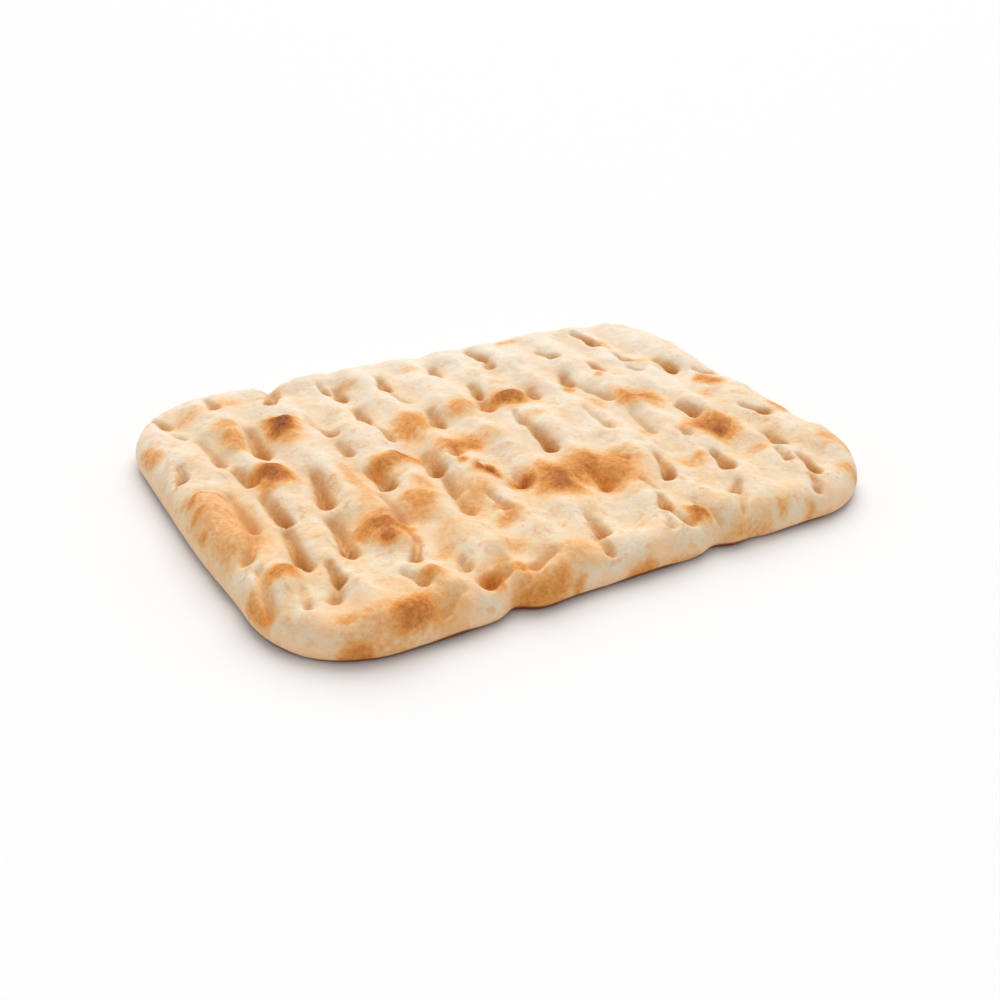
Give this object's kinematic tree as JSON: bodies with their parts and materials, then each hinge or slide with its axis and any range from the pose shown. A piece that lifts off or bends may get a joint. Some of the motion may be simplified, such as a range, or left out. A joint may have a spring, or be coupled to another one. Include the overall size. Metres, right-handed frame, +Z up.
{
  "type": "pizza base",
  "caption": "Rectangular par-baked pizza base with rounded corners: a flat slab of dough, pressed all over by fingertips, with browned blisters between the marks.",
  "frame": {"origin": "middle of the slab's footprint, on the flat underside that it rests on", "axes": "+X along the long side, +Y along the short side, +Z up through the thickness"},
  "size_m": [0.4, 0.295, 0.0298],
  "materials": {
    "crust": "matte"
  },
  "bodies": {
    "root": {"dough_slab": "crust"}
  },
  "joints": []
}
